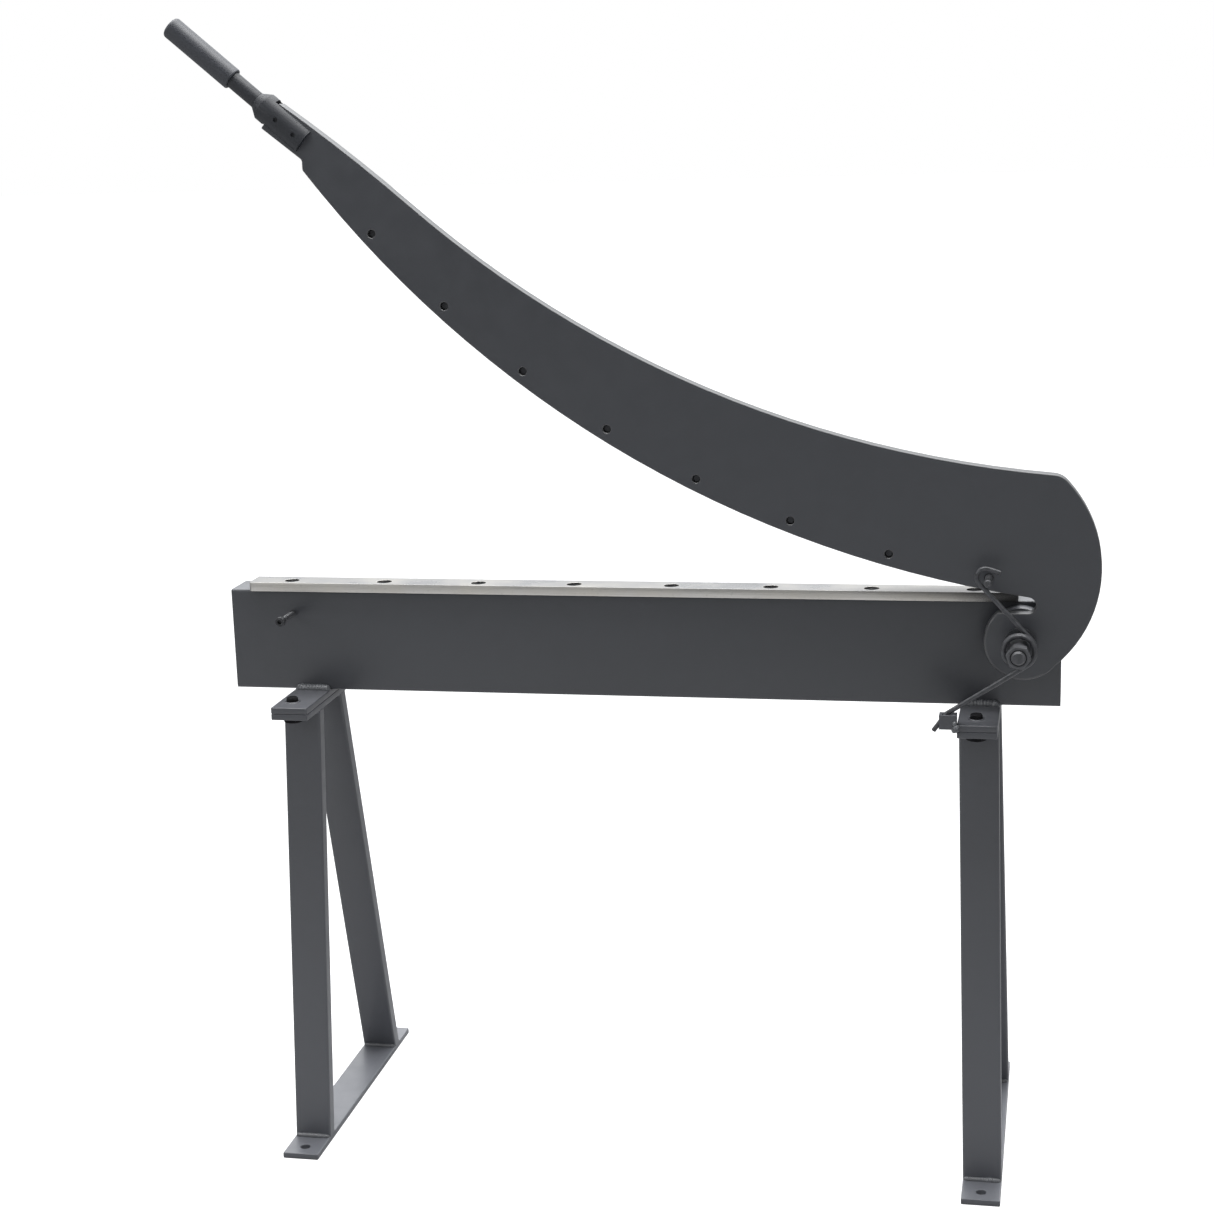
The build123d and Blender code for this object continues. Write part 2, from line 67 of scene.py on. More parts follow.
# ---- shader helpers ----------------------------------------------------------------------
class Shader:
    """A Principled material built one node at a time."""

    def __init__(self, name):
        self.material = bpy.data.materials.new(name)
        self.material.use_nodes = True
        self.tree = self.material.node_tree
        self.tree.nodes.clear()
        self.output = self.add("ShaderNodeOutputMaterial")
        self.surface = self.add("ShaderNodeBsdfPrincipled")
        self.link(self.surface.outputs[0], self.output.inputs[0])
        self.coords = self.add("ShaderNodeTexCoord").outputs["Object"]

    def add(self, kind, **settings):
        made = self.tree.nodes.new(kind)
        for key, value in settings.items():
            setattr(made, key, value)
        return made

    def link(self, source, target):
        self.tree.links.new(source, target)

    def put(self, target, value):
        if isinstance(value, bpy.types.NodeSocket):
            self.link(value, target)
        else:
            target.default_value = value

    def stretch(self, scale):
        mapping = self.add("ShaderNodeMapping")
        mapping.inputs["Scale"].default_value = scale
        self.link(self.coords, mapping.inputs["Vector"])
        return mapping.outputs[0]

    def noise(self, scale, detail=3.0, rough=0.55, coords=None):
        made = self.add("ShaderNodeTexNoise")
        made.inputs["Scale"].default_value = scale
        made.inputs["Detail"].default_value = detail
        made.inputs["Roughness"].default_value = rough
        self.link(coords or self.coords, made.inputs["Vector"])
        return made.outputs[0]

    def remap(self, value, low, high, to_low, to_high):
        made = self.add("ShaderNodeMapRange")
        self.put(made.inputs[0], value)
        for socket, number in zip(made.inputs[1:5], (low, high, to_low, to_high)):
            socket.default_value = number
        return made.outputs[0]

    def maths(self, operation, a, b=0.0):
        made = self.add("ShaderNodeMath", operation=operation)
        self.put(made.inputs[0], a)
        self.put(made.inputs[1], b)
        return made.outputs[0]

    def mix(self, share, a, b):
        made = self.add("ShaderNodeMix", data_type="RGBA")
        self.put(made.inputs[0], share)
        self.put(made.inputs[6], a if isinstance(a, bpy.types.NodeSocket) else (*a, 1))
        self.put(made.inputs[7], b if isinstance(b, bpy.types.NodeSocket) else (*b, 1))
        return made.outputs[2]

    def edges(self, radius):
        """1 on sharp edges, 0 on flat faces."""
        rounded = self.add("ShaderNodeBevel", samples=4)
        rounded.inputs["Radius"].default_value = radius
        true_normal = self.add("ShaderNodeNewGeometry").outputs["True Normal"]
        dot = self.add("ShaderNodeVectorMath", operation="DOT_PRODUCT")
        self.link(rounded.outputs[0], dot.inputs[0])
        self.link(true_normal, dot.inputs[1])
        return self.remap(dot.outputs["Value"], 0.995, 0.86, 0.0, 1.0)

    def painted_shade(self, distance, power):
        """Painted shade: 1 in the open, falling towards 0 where other surfaces crowd in."""
        made = self.add("ShaderNodeAmbientOcclusion", samples=6)
        made.inputs["Distance"].default_value = distance
        return self.maths("POWER", made.outputs["AO"], power)

    def bump(self, height, strength, distance):
        made = self.add("ShaderNodeBump")
        made.inputs["Strength"].default_value = strength
        made.inputs["Distance"].default_value = distance
        self.link(height, made.inputs["Height"])
        previous = self.surface.inputs["Normal"]
        if previous.is_linked:
            self.link(previous.links[0].from_socket, made.inputs["Normal"])
        self.link(made.outputs[0], previous)

    def set(self, **values):
        for key, value in values.items():
            name = key.replace("_", " ").title().replace("Ior", "IOR")
            if isinstance(value, tuple) and len(value) == 3:
                value = (*value, 1)
            self.put(self.surface.inputs[name], value)


# First: paler colour of level faces, a dusting and painted top light.
DUST_AND_TOP_LIGHT = (0.30, 0.305, 0.33)
RUBBED_BRIGHT = (0.85, 0.85, 0.84)
RUBBED_DARK = (0.5, 0.5, 0.5)
SHADOWED_STEEL = (0.03, 0.03, 0.032)


def tint(colour, factor):
    return tuple(channel * factor for channel in colour)


def paint(name, colour, roughness=0.36, striped=False, dust_and_painted_light=0.0, worn=3.0, peel=0.12, shine=0.55):
    """Sprayed satin paint: faint mottling, orange peel, paler worn edges, a dusting and painted top
    light on level faces, and painted floor light that pales it towards the bottom.
    """
    s = Shader(name)
    broad = s.noise(2.3, 4)
    mottle = s.noise(38, 5, 0.6)
    base = s.mix(s.remap(broad, 0.3, 0.7, 0, 1), tint(colour, 0.92), tint(colour, 1.08))
    base = s.mix(s.remap(mottle, 0.35, 0.72, 0, 0.3), base, tint(colour, 1.25))
    if worn:
        rubbed = s.edges(1.4 * MM)
        wear = s.maths("MULTIPLY", rubbed, s.remap(s.noise(120, 4), 0.35, 0.62, 0.1, 0.6))
        base = s.mix(wear, base, tint(colour, worn))
    speck = s.remap(s.noise(900, 2, 0.4), 0.70, 0.76, 0, 0.3)
    base = s.mix(speck, base, tint(colour, 2.0))
    if dust_and_painted_light:
        # Level faces pale with a dusting and with painted top light.
        facing = s.add("ShaderNodeSeparateXYZ")
        s.link(s.add("ShaderNodeNewGeometry").outputs["Normal"], facing.inputs[0])
        dust_and_top_light_share = s.remap(facing.outputs[2], 0.8, 0.98, 0.0, dust_and_painted_light)
        patches = s.remap(s.noise(14, 5, 0.6), 0.3, 0.7, 0.75, 1.0)
        dust_and_top_light_share = s.maths("MULTIPLY", dust_and_top_light_share, patches)
        base = s.mix(dust_and_top_light_share, base, DUST_AND_TOP_LIGHT)
        # Painted floor light: the paint turns paler towards the bottom, near the floor.
        height = s.add("ShaderNodeSeparateXYZ")
        s.link(s.coords, height.inputs[0])
        base = s.mix(s.remap(height.outputs[2], 0.45, 0.02, 0.0, 0.5), base, tint(colour, 2.2))
    rough = s.remap(mottle, 0.3, 0.7, roughness - 0.04, roughness + 0.07)
    s.set(base_color=base, roughness=rough, specular_ior_level=shine)
    if striped:
        lines = s.noise(1.0, 3, 0.6, s.stretch((900, 14, 900)))
        s.bump(lines, 0.3, 0.2 * MM)
    if peel:
        s.bump(s.noise(420, 3, 0.5), peel, 0.1 * MM)
    s.bump(broad, 0.04, 0.6 * MM)
    return s.material


def ground_steel(name, colour, along, roughness=0.34, stain=(0.5, 0.46, 0.38)):
    """Ground tool steel: fine lines along one axis, faint stains, painted shade where parts crowd in."""
    s = Shader(name)
    scale = tuple(6 if i == along else 900 for i in range(3))
    lines = s.noise(1.0, 4, 0.65, s.stretch(scale))
    smear = s.noise(9, 5, 0.6)
    base = s.mix(s.remap(lines, 0.3, 0.7, 0, 1), tint(colour, 0.86), tint(colour, 1.06))
    base = s.mix(s.remap(smear, 0.42, 0.75, 0, 0.5), base, tint(stain, 0.95))
    base = s.mix(s.remap(s.noise(260, 4), 0.62, 0.74, 0, 0.4), base, tint(colour, 0.5))
    base = s.mix(s.maths("MULTIPLY", s.edges(0.7 * MM), 0.6), base, RUBBED_BRIGHT)
    # Painted shade: the steel darkens where other parts crowd in.
    base = s.mix(s.painted_shade(55 * MM, 3.0), SHADOWED_STEEL, base)
    rough = s.remap(smear, 0.3, 0.7, roughness - 0.06, roughness + 0.12)
    s.set(base_color=base, roughness=rough, metallic=1.0)
    s.bump(lines, 0.22, 0.03 * MM)
    return s.material


def dark_steel(name, colour, roughness=0.38, metallic=0.85, rub=0.3, shine=0.5):
    """Black-oxide or oiled steel: near black, with bright rubbed corners."""
    s = Shader(name)
    cloud = s.noise(160, 4, 0.6)
    base = s.mix(s.remap(cloud, 0.3, 0.7, 0, 1), tint(colour, 0.7), tint(colour, 1.45))
    worn = s.maths("MULTIPLY", s.edges(0.5 * MM), s.remap(s.noise(500, 3), 0.35, 0.65, 0.15, 1))
    base = s.mix(s.maths("MULTIPLY", worn, rub), base, RUBBED_DARK)
    rough = s.remap(cloud, 0.3, 0.7, roughness - 0.06, roughness + 0.1)
    s.set(base_color=base, roughness=rough, metallic=metallic, specular_ior_level=shine)
    s.bump(s.noise(1400, 2, 0.5), 0.12, 0.04 * MM)
    return s.material


def rubber(name, colour):
    """Matt moulded grip, faintly uneven in colour and surface."""
    s = Shader(name)
    cloud = s.noise(30, 4, 0.55)
    base = s.mix(s.remap(cloud, 0.3, 0.7, 0, 1), tint(colour, 0.9), tint(colour, 1.15))
    s.set(base_color=base, roughness=s.remap(cloud, 0.3, 0.7, 0.46, 0.56), specular_ior_level=0.5)
    s.bump(s.noise(60, 3), 0.05, 0.2 * MM)
    return s.material


frame_paint = paint("FramePaint", (0.040, 0.042, 0.048), dust_and_painted_light=0.17)
bar_paint = paint("BarPaint", (0.040, 0.042, 0.048), dust_and_painted_light=0.34)
bed_paint = paint("BedPaint", (0.031, 0.033, 0.038), dust_and_painted_light=0.2, worn=2.0)
arm_paint = paint("ArmPaint", (0.030, 0.032, 0.037), worn=1.5)
cut_paint = paint("CutEdgePaint", (0.038, 0.039, 0.042), 0.34, striped=True, worn=1.8)
handle_paint = paint("HandlePaint", (0.016, 0.0175, 0.021), 0.5, worn=0.0, peel=0.0, shine=0.3)
weld_paint = paint("WeldPaint", (0.075, 0.078, 0.084), 0.3)
blade_steel = ground_steel("BladeSteel", (0.30, 0.30, 0.305), 0, 0.26)
blade_side = ground_steel("BladeSide", (0.46, 0.45, 0.43), 0, 0.4)
black_steel = dark_steel("BlackSteel", (0.024, 0.025, 0.028), 0.4, 0.5)
bolt_black = dark_steel("BoltBlack", (0.006, 0.006, 0.007), 0.7, 0.0, 0.05, 0.1)
nut_steel = dark_steel("NutSteel", (0.045, 0.046, 0.050), 0.42, 0.3, 0.35)
spring_steel = dark_steel("SpringSteel", (0.040, 0.041, 0.045), 0.36, 0.3, 0.12)
grip_rubber = rubber("GripRubber", (0.017, 0.019, 0.025))
bronze = ground_steel("Bronze", (0.55, 0.38, 0.18), 1, 0.38, (0.3, 0.2, 0.1))


# ---- mesh helpers ------------------------------------------------------------------------
def sharp_edges(bm, degrees):
    """Edges where two faces meet at more than an angle."""
    limit = math.radians(degrees)
    return [e for e in bm.edges if len(e.link_faces) == 2 and e.calc_face_angle(0) > limit]


def place(name, bm, materials, body, stands_for=(), smooth_angle=36):
    """Turns a bmesh into a piece that rides on a body and stands for CAD nodes."""
    bmesh.ops.recalc_face_normals(bm, faces=bm.faces)
    for edge in sharp_edges(bm, smooth_angle):
        edge.smooth = False
    mesh = bpy.data.meshes.new(name)
    bm.to_mesh(mesh)
    bm.free()
    made = bpy.data.objects.new(name, mesh)
    bpy.context.scene.collection.objects.link(made)
    for material in materials:
        mesh.materials.append(material)
    if body:
        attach(made, body)
    if stands_for:
        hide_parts(*stands_for)
    return made


def end_loops(node, axis, high):
    """Outlines of a CAD node's flat face square to an axis, as lists of points."""
    bm = bmesh.new()
    bm.from_mesh(nodes[node].data)
    bmesh.ops.remove_doubles(bm, verts=bm.verts, dist=1e-6)
    level = (max if high else min)(v.co[axis] for v in bm.verts)
    flat = {f for f in bm.faces if all(abs(v.co[axis] - level) < 2e-5 for v in f.verts)}
    rim = [e for e in bm.edges if sum(f in flat for f in e.link_faces) == 1]
    near = {}
    for e in rim:
        for v in e.verts:
            near.setdefault(v, []).append(e.other_vert(v))
    loops = []
    left = set(near)
    while left:
        start = min(left, key=lambda v: tuple(v.co))
        loop = [start]
        left.discard(start)
        while True:
            onward = [v for v in near[loop[-1]] if v in left]
            if not onward:
                break
            loop.append(onward[0])
            left.discard(onward[0])
        loops.append([v.co.copy() for v in loop])
    bm.free()
    return loops


def flat_loops(node, axis, high):
    """The same outlines in the face's own two axes, outer first and anticlockwise."""
    a, b = [i for i in range(3) if i != axis]
    loops = [[Vector((p[a], p[b])) for p in loop] for loop in end_loops(node, axis, high)]
    loops.sort(key=lambda loop: -abs(area(loop)))
    turned = []
    for index, loop in enumerate(loops):
        anticlockwise = area(loop) > 0
        turned.append(loop if anticlockwise == (index == 0) else loop[::-1])
    return turned


def area(loop):
    return sum(a.x * b.y - b.x * a.y for a, b in zip(loop, loop[1:] + loop[:1])) / 2


def middle(loop):
    return sum(loop, Vector((0, 0))) / len(loop)


def circle(centre, radius, count=48):
    """Clockwise ring of points, as the outline of a hole."""
    angles = [-2 * math.pi * i / count for i in range(count)]
    return [centre + Vector((math.cos(a), math.sin(a))) * radius for a in angles]


def soften(loop, radius, least=30, steps=4):
    """Rounds the sharp corners of an outline."""
    out = []
    count = len(loop)
    for i, p in enumerate(loop):
        before, after = loop[i - 1] - p, loop[(i + 1) % count] - p
        turn = math.pi - before.angle(after)
        if math.degrees(turn) < least:
            out.append(p)
            continue
        reach = radius * math.tan(turn / 2)
        reach = min(reach, before.length * 0.45, after.length * 0.45)
        a = p + before.normalized() * reach
        b = p + after.normalized() * reach
        for step in range(steps + 1):
            t = step / steps
            out.append(a.lerp(p, t).lerp(p.lerp(b, t), t))
    return out


def rim(width, steps=4):
    """Inset and depth of a rounded edge, from the flat face to the side wall."""
    if width <= 0:
        return [(0.0, 0.0)]
    turns = [math.pi / 2 * i / steps for i in range(steps + 1)]
    return [(width * (1 - math.sin(t)), width * (1 - math.cos(t))) for t in turns]


def wall(depth, front, back, steps=4):
    """Edge profile of a plate with rounded front and back edges."""
    return rim(front, steps) + [(i, depth - d) for i, d in reversed(rim(back, steps))]


def level_strip(profile):
    """Adds a narrow flat strip before and after an edge profile."""
    first, last = profile[0], profile[-1]
    strip = 0.3 * MM
    return [(first[0] + strip, first[1])] + profile + [(last[0] + strip, last[1])]


def slab(loops, axis, level, depth_vector, profiles):
    """Closed plate. Each outline is swept through its own profile of (inset, depth)."""
    keep = [i for i in range(3) if i != axis]
    bm = bmesh.new()
    first, last = [], []
    for loop, profile in zip(loops, profiles):
        count = len(loop)
        insets = []
        for i, p in enumerate(loop):
            a = (p - loop[i - 1]).normalized()
            b = (loop[(i + 1) % count] - p).normalized()
            mitre = Vector((-a.y - b.y, a.x + b.x)).normalized()
            insets.append(mitre / max(0.5, mitre.dot(Vector((-a.y, a.x)))))
        rings = []
        at_point = profile if callable(profile) else (lambda p, fixed=profile: fixed)
        stacks = [level_strip(at_point(p)) for p in loop]
        for k in range(len(stacks[0])):
            ring = []
            for p, n, stack in zip(loop, insets, stacks):
                inset, depth = stack[k]
                q = p + n * inset
                co = Vector((0, 0, 0))
                co[axis] = level
                co[keep[0]], co[keep[1]] = q.x, q.y
                ring.append(bm.verts.new(co + depth_vector * depth))
            rings.append(ring)
        for low, high in zip(rings, rings[1:]):
            for i in range(count):
                j = (i + 1) % count
                face = bm.faces.new((low[i], low[j], high[j], high[i]))
                face.smooth = True
                face.material_index = 1
        first.append(rings[0])
        last.append(rings[-1])
    for cap in (first, last):
        flat = [[Vector((v.co[keep[0]], v.co[keep[1]], 0)) for v in ring] for ring in cap]
        verts = [v for ring in cap for v in ring]
        for triangle in tessellate_polygon(flat):
            bm.faces.new([verts[i] for i in triangle])
    return bm


def plate(name, node, axis, high, rounding, material, corner=0.0, run=None, chamfer=0.0, burr=False):
    """A flat CAD piece of the base, its hole mouths plain, chamfered or turned up in a burr."""
    low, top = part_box(node)
    level = top[axis] if high else low[axis]
    thickness = top[axis] - low[axis]
    loops = flat_loops(node, axis, high)
    shaped = []
    for index, loop in enumerate(loops):
        centre = middle(loop)
        radii = [(p - centre).length for p in loop]
        if index and max(radii) - min(radii) < 0.02 * max(radii):
            loop = circle(centre, max(radii))
        elif corner:
            loop = soften(loop, corner)
        shaped.append(loop)
    if run is None:
        run = Vector((0, 0, 0))
        run[axis] = -1 if high else 1
    profile = wall(thickness, rounding, rounding)
    mouth = profile
    if chamfer:
        cut = ((1.0, 0.0), (0.8, 0.08), (0.1, 0.7), (0.0, 1.0))
        mouth = [(chamfer * inset, chamfer * depth) for inset, depth in cut] + [(0, thickness)]
    if burr:
        lip = ((3.0, 0.0), (2.6, -0.7), (1.9, -1.2), (1.1, -1.2), (0.4, -0.6), (0.0, 0.0))
        mouth = [(inset * MM, depth * MM) for inset, depth in lip] + [(0, thickness)]
    bm = slab(shaped, axis, level, run, [profile] + [mouth] * (len(shaped) - 1))
    return place(name, bm, (material, material), "base", (node,))


def revolve(rings, origin, axis, across, count=64, closed=False, bm=None):
    """Solid of revolution about axis. Each ring is (radius or a function of angle, height)."""
    bm = bm or bmesh.new()
    axis = axis.normalized()
    across = (across - axis * across.dot(axis)).normalized()
    third = axis.cross(across)
    made = []
    for radius, height in rings:
        centre = origin + axis * height
        if not callable(radius) and radius < 1e-7:
            made.append([bm.verts.new(centre)])
            continue
        ring = []
        for i in range(count):
            angle = 2 * math.pi * i / count
            r = radius(angle) if callable(radius) else radius
            ring.append(bm.verts.new(centre + (across * math.cos(angle) + third * math.sin(angle)) * r))
        made.append(ring)
    pairs = list(zip(made, made[1:]))
    if closed:
        pairs.append((made[-1], made[0]))
    for low, high in pairs:
        for i in range(count):
            j = (i + 1) % count
            corners = [low[i % len(low)], low[j % len(low)], high[j % len(high)], high[i % len(high)]]
            corners = [v for n, v in enumerate(corners) if v not in corners[:n]]
            if len(corners) > 2:
                bm.faces.new(corners).smooth = True
    return bm


def hexagon(flats):
    """Radius of a hexagon at an angle, from its width across flats."""
    def radius(angle):
        return flats / 2 / math.cos((angle % (math.pi / 3)) - math.pi / 6)
    return radius


CONE_SPREAD = 1.732


def hex_chamfer(flats, drop):
    """Hexagon cut by a 30 degree cone, at a drop below its end face."""
    side = hexagon(flats)
    return lambda angle: min(side(angle), flats / 2 * 0.97 + drop * CONE_SPREAD)


def thread(radius, pitch, depth, height, limit=1.0):
    """Radius round one turn of a thread at a height."""
    def at(angle):
        phase = (height / pitch - angle / (2 * math.pi)) % 1
        return min(radius - depth * (1 - abs(2 * phase - 1)), limit)
    return at


def tube(path, radii, count=20, blunt=0.35):
    """Round wire along a path of points, with its ends rounded off."""
    bm = bmesh.new()
    rings = []
    side = None
    last = len(path) - 1
    for i, p in enumerate(path):
        ahead = (path[min(i + 1, last)] - path[max(i - 1, 0)]).normalized()
        if side is None:
            side = ahead.orthogonal()
        side = (side - ahead * side.dot(ahead)).normalized()
        up = ahead.cross(side)
        ring = []
        for k in range(count):
            a = 2 * math.pi * k / count
            ring.append(bm.verts.new(p + (side * math.cos(a) + up * math.sin(a)) * radii[i]))
        rings.append(ring)
        if i in (0, last):
            outward = ahead * (-1 if i == 0 else 1)
            tip = []
            for v in ring:
                tip.append(bm.verts.new(p + (v.co - p) * (1 - blunt) + outward * radii[i] * blunt * 0.6))
            for k in range(count):
                j = (k + 1) % count
                bm.faces.new((ring[k], ring[j], tip[j], tip[k])).smooth = True
            bm.faces.new(tip)
    for low, high in zip(rings, rings[1:]):
        for k in range(count):
            j = (k + 1) % count
            bm.faces.new((low[k], low[j], high[j], high[k])).smooth = True
    return bm


def bead(path, leg_a, leg_b, size, seed, bm, pitch=2.6 * MM):
    """Weld bead in the corner between two surfaces, rippled like a row of coins."""
    points = []
    runs = [(b - a).length for a, b in zip(path, path[1:])]
    total = sum(runs)
    steps = max(8, int(total / (0.55 * MM)))
    count = 14
    for i in range(steps + 1):
        target = total * i / steps
        length, k = 0.0, 0
        while k < len(runs) - 1 and length + runs[k] < target:
            length += runs[k]
            k += 1
        t = (target - length) / runs[k]
        points.append((path[k].lerp(path[k + 1], t), target))
    rings = []
    for p, s in points:
        end = min(1.0, min(s, total - s) / size)
        swell = math.sqrt(max(0.02, end * (2 - end)))
        wobble = noise.noise(Vector((s * 60, seed * 7.3, 0.5)))
        lumps = noise.noise(Vector((s * 240, seed * 3.1, 4.5)))
        centre = p + (leg_a + leg_b) * size * 0.12
        ring = []
        for k in range(count):
            a = 2 * math.pi * k / count
            phase = (s + 0.9 * MM * math.cos(a - math.pi / 4)) / pitch + 0.3 * wobble
            ripple = 1 - 0.13 * abs(2 * (phase % 1) - 1)
            r = size * 0.78 * swell * ripple * (1 + 0.16 * wobble + 0.07 * lumps)
            ring.append(bm.verts.new(centre + (leg_a * math.cos(a) + leg_b * math.sin(a)) * r))
        rings.append(ring)
    for low, high in zip(rings, rings[1:]):
        for k in range(count):
            j = (k + 1) % count
            bm.faces.new((low[k], low[j], high[j], high[k])).smooth = True
    bm.faces.new(rings[0])
    bm.faces.new(rings[-1])


X, Y, Z = Vector((1, 0, 0)), Vector((0, 1, 0)), Vector((0, 0, 1))

# ---- bed and plates ----------------------------------------------------------------------
plate("BedBeam", "bed_beam", 0, False, 0.6 * MM, bed_paint)
for side in SIDES:
    for name, node, burr in (("MountPlate", "mount_plate", True), ("StandPlate", "stand_plate", False)):
        name, node = f"{name}_{side}", f"{node}_{side}"
        plate(name, node, 2, True, 1.4 * MM, frame_paint, corner=2.2 * MM, burr=burr)
    name, node = f"BaseBar_{side}", f"base_bar_{side}"
    plate(name, node, 2, True, 1.2 * MM, bar_paint, corner=2 * MM, chamfer=0.7 * MM)
    for leg in ("front_leg", "rear_leg"):
        node = f"{leg}_{side}"
        foot = middle(flat_loops(node, 2, False)[0])
        top = middle(flat_loops(node, 2, True)[0])
        low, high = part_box(node)
        rise = high.z - low.z
        run = Vector(((top.x - foot.x) / rise, (top.y - foot.y) / rise, 1))
        plate(f"Leg_{node}", node, 2, False, 0.0, frame_paint, run=run)

# ---- blades ------------------------------------------------------------------------------
SINK = 2 * MM
HEAD = 5 * MM
MOUTH_RADIUS = 10 * MM
SHANK_HOLE_RADIUS = 5.5 * MM


def countersunk(thickness):
    """Wall of a countersunk hole whose outline is its wide mouth."""
    narrow = MOUTH_RADIUS - SHANK_HOLE_RADIUS
    return [
        (0.25 * MM, 0),
        (0, 0.25 * MM),
        (0, SINK),
        (-narrow, SINK + HEAD),
        (-narrow, thickness),
    ]


def blade(name, node, axis, high, rounding, body):
    """A hardened strip with a row of countersunk holes."""
    low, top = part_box(node)
    thickness = top[axis] - low[axis]
    loops = flat_loops(node, axis, high)
    outer = soften(loops[0], 0.3 * MM, steps=2)
    holes = [circle(middle(loop), MOUTH_RADIUS, 64) for loop in loops[1:]]
    profiles = [wall(thickness, rounding, rounding, 2)]
    profiles += [countersunk(thickness)] * len(holes)
    depth = Vector((0, 0, 0))
    depth[axis] = -1 if high else 1
    bm = slab([outer] + holes, axis, top[axis] if high else low[axis], depth, profiles)
    return place(name, bm, (blade_steel, blade_side), body, (node,))


blade("LowerBlade", "lower_blade", 2, True, 0.25 * MM, "base")
blade("UpperBlade", "upper_blade", 1, True, 0.25 * MM, "arm")

# ---- arm plate ---------------------------------------------------------------------------
ARM_ROUND = 1.1 * MM
BOSS_ROUND = 3.0 * MM
BOSS_REACH = 56 * MM
BOSS_RIGHT = 30 * MM
BOSS_TOP = 36 * MM
BORE_OVER = 8 * MM
SCREW_HOLE_OVER = 5.5 * MM
SCREW_HOLE_RADIUS = 5.05 * MM
arm_low, arm_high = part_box("arm_plate")
arm_thickness = arm_high.y - arm_low.y
arm_loops = flat_loops("arm_plate", 1, False)


def arm_edge(p):
    """The edge is rounded further round the boss, on the front only."""
    offset = p - Vector((pivot.x, pivot.z))
    on_boss = offset.length < BOSS_REACH and offset.x < BOSS_RIGHT and offset.y < BOSS_TOP
    front = BOSS_ROUND if on_boss else ARM_ROUND
    return wall(arm_thickness, front, ARM_ROUND)


# The bore and the screw holes are redrawn. The cross pins' holes are left out: the ferrule
# covers them.
shaped = [soften(arm_loops[0], 2 * MM)]
profiles = [arm_edge]
for loop in arm_loops[1:]:
    centre = middle(loop)
    radius = (loop[0] - centre).length
    if radius > BORE_OVER:
        shaped.append(circle(centre, radius, 64))
        profiles.append(wall(arm_thickness, 0.3 * MM, 0.3 * MM, 2))
    elif radius > SCREW_HOLE_OVER:
        shaped.append(circle(centre, SCREW_HOLE_RADIUS))
        countersink = [(0.95 * MM, 0), (0.75 * MM, 0.12 * MM), (0, 0.95 * MM)]
        profiles.append(countersink + [(0, arm_thickness)])
bm = slab(shaped, 1, arm_low.y, Y, profiles)
place("ArmPlate", bm, (arm_paint, cut_paint), "arm", ("arm_plate",))

# ---- screws ------------------------------------------------------------------------------
SHANK_RADIUS = 5 * MM
THREAD_FROM = 8 * MM


def socket_head():
    """Rings of a countersunk socket head, from the socket's floor to the shank."""
    rings = [(0, 3.4 * MM), (hexagon(5.8 * MM), 3 * MM), (hexagon(6 * MM), 0.2 * MM), (3.9 * MM, 0)]
    rings += [(9.75 * MM, 0), (9.95 * MM, 0.15 * MM), (9.95 * MM, 0.4 * MM), (SHANK_RADIUS, HEAD)]
    return rings


def countersunk_screw(bm, head, into, length):
    """Socket screw with a countersunk head: head is the middle of its top face."""
    rings = socket_head() + [(SHANK_RADIUS, THREAD_FROM)]
    rows = int((length - THREAD_FROM) / (0.25 * MM))
    for i in range(1, rows + 1):
        height = THREAD_FROM + (length - THREAD_FROM) * i / rows
        limit = 4.0 * MM + (length - height)
        rings.append((thread(SHANK_RADIUS, 1.5 * MM, 0.8 * MM, height, limit), height))
    rings.append((0, length))
    return revolve(rings, head, into, X, 48, bm=bm)


def solid_boxes(node):
    """Lowest and highest corner of each separate solid in a CAD node, left to right."""
    bm = bmesh.new()
    bm.from_mesh(nodes[node].data)
    bmesh.ops.remove_doubles(bm, verts=bm.verts, dist=1e-6)
    left = set(bm.verts)
    found = []
    while left:
        stack = [left.pop()]
        island = []
        while stack:
            v = stack.pop()
            island.append(v.co.copy())
            for e in v.link_edges:
                other = e.other_vert(v)
                if other in left:
                    left.discard(other)
                    stack.append(other)
        low = Vector([min(c[i] for c in island) for i in range(3)])
        high = Vector([max(c[i] for c in island) for i in range(3)])
        found.append((low, high))
    bm.free()
    return sorted(found, key=lambda box: (round(box[0].x, 4), box[0].y))


def screws(name, node, along, head_high, body, material):
    """All the countersunk screws of one CAD node, their heads a hair below the CAD's."""
    clearance = 0.02 * MM
    bm = bmesh.new()
    for low, high in solid_boxes(node):
        axis = Vector((0, 0, 0))
        axis[along] = -1 if head_high else 1
        head = (low + high) / 2
        head[along] = high[along] if head_high else low[along]
        countersunk_screw(bm, head + axis * clearance, axis, high[along] - low[along] - clearance)
    return place(name, bm, (material,), body, (node,))


screws("LowerBladeScrews", "lower_blade_screws", 2, True, "base", bolt_black)
screws("UpperBladeScrews", "upper_blade_screws", 1, True, "arm", black_steel)

# The last screw is longer: its plain end carries the spring's hook.
hook_low, hook_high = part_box("spring_hook_screw")
hook_head = (hook_low + hook_high) / 2
hook_head.y = hook_high.y
hook_length = hook_high.y - hook_low.y
rings = socket_head() + [(SHANK_RADIUS, hook_length - 1.2 * MM)]
rings += [(4.75 * MM, hook_length - 0.7 * MM), (3.9 * MM, hook_length)]
rings += [(2.6 * MM, hook_length), (2.2 * MM, hook_length - 0.3 * MM), (0, hook_length - 0.3 * MM)]
bm = revolve(rings, hook_head, -Y, X, 48)
place("SpringHookScrew", bm, (nut_steel,), "arm", ("spring_hook_screw",))

# ---- pivot stack -------------------------------------------------------------------------
def on_pivot(y):
    return Vector((pivot.x, y, pivot.z))


